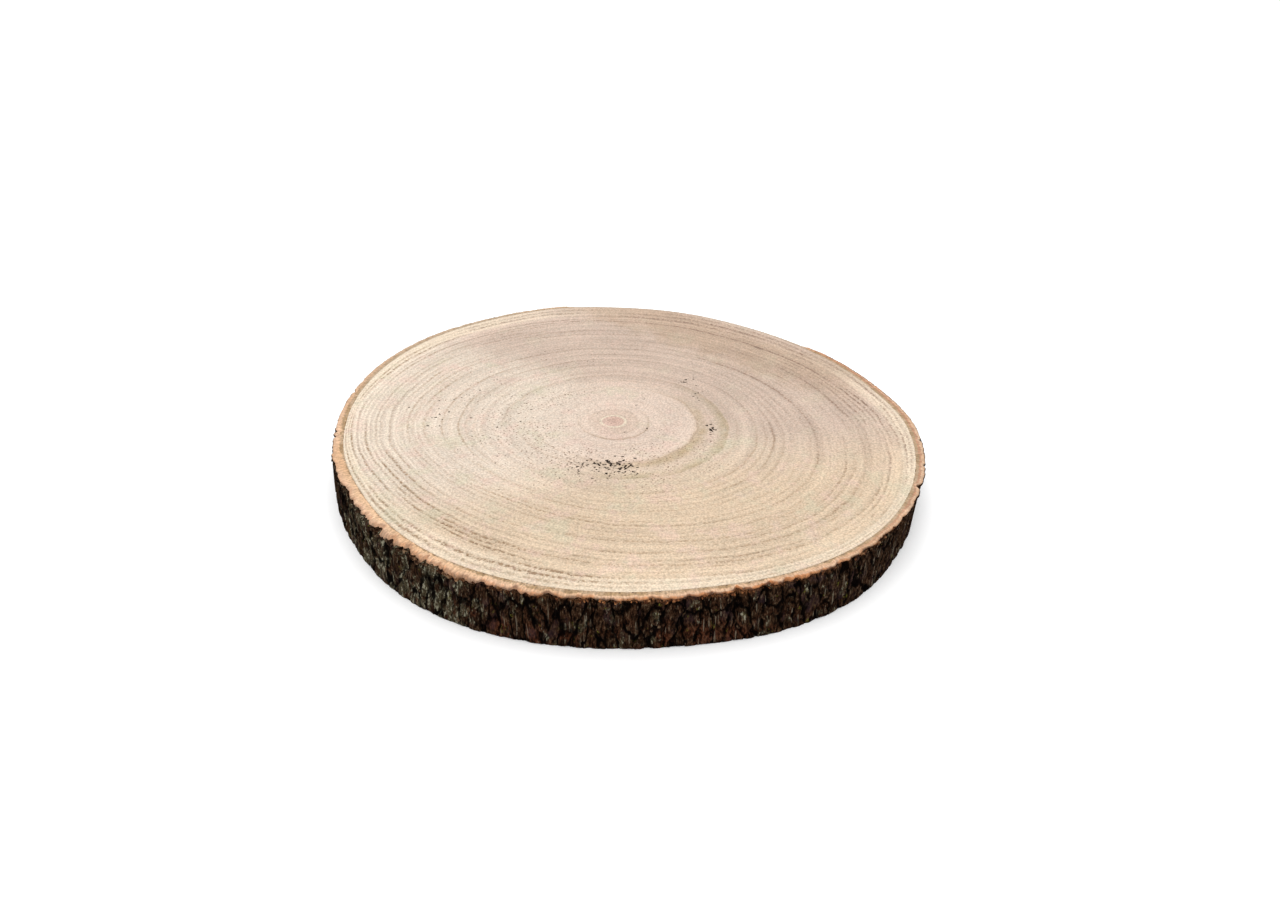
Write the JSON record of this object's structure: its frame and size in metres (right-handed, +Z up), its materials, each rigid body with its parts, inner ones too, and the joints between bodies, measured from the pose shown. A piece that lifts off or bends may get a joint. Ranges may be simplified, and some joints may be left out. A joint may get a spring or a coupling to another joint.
{
  "type": "wood slice",
  "caption": "Flat round slice sawn straight across a trunk, with its growth rings on both faces and rough furrowed bark left on its rim.",
  "frame": {"origin": "on the lower sawn face, under the middle of the slice's bounding box", "axes": "+Z up, out of the upper sawn face; -Y towards the side whose bark carries the lichen; +X to the right seen from there, with the bare stretch of rim at +X +Y"},
  "size_m": [0.3035, 0.3019, 0.0258],
  "materials": {
    "cut_wood": "sawn and lightly sanded",
    "inner_bark": "fibrous, matt",
    "outer_bark": "rough, furrowed, matt"
  },
  "bodies": {
    "root": {"wood_slice": "cut_wood"}
  },
  "joints": []
}
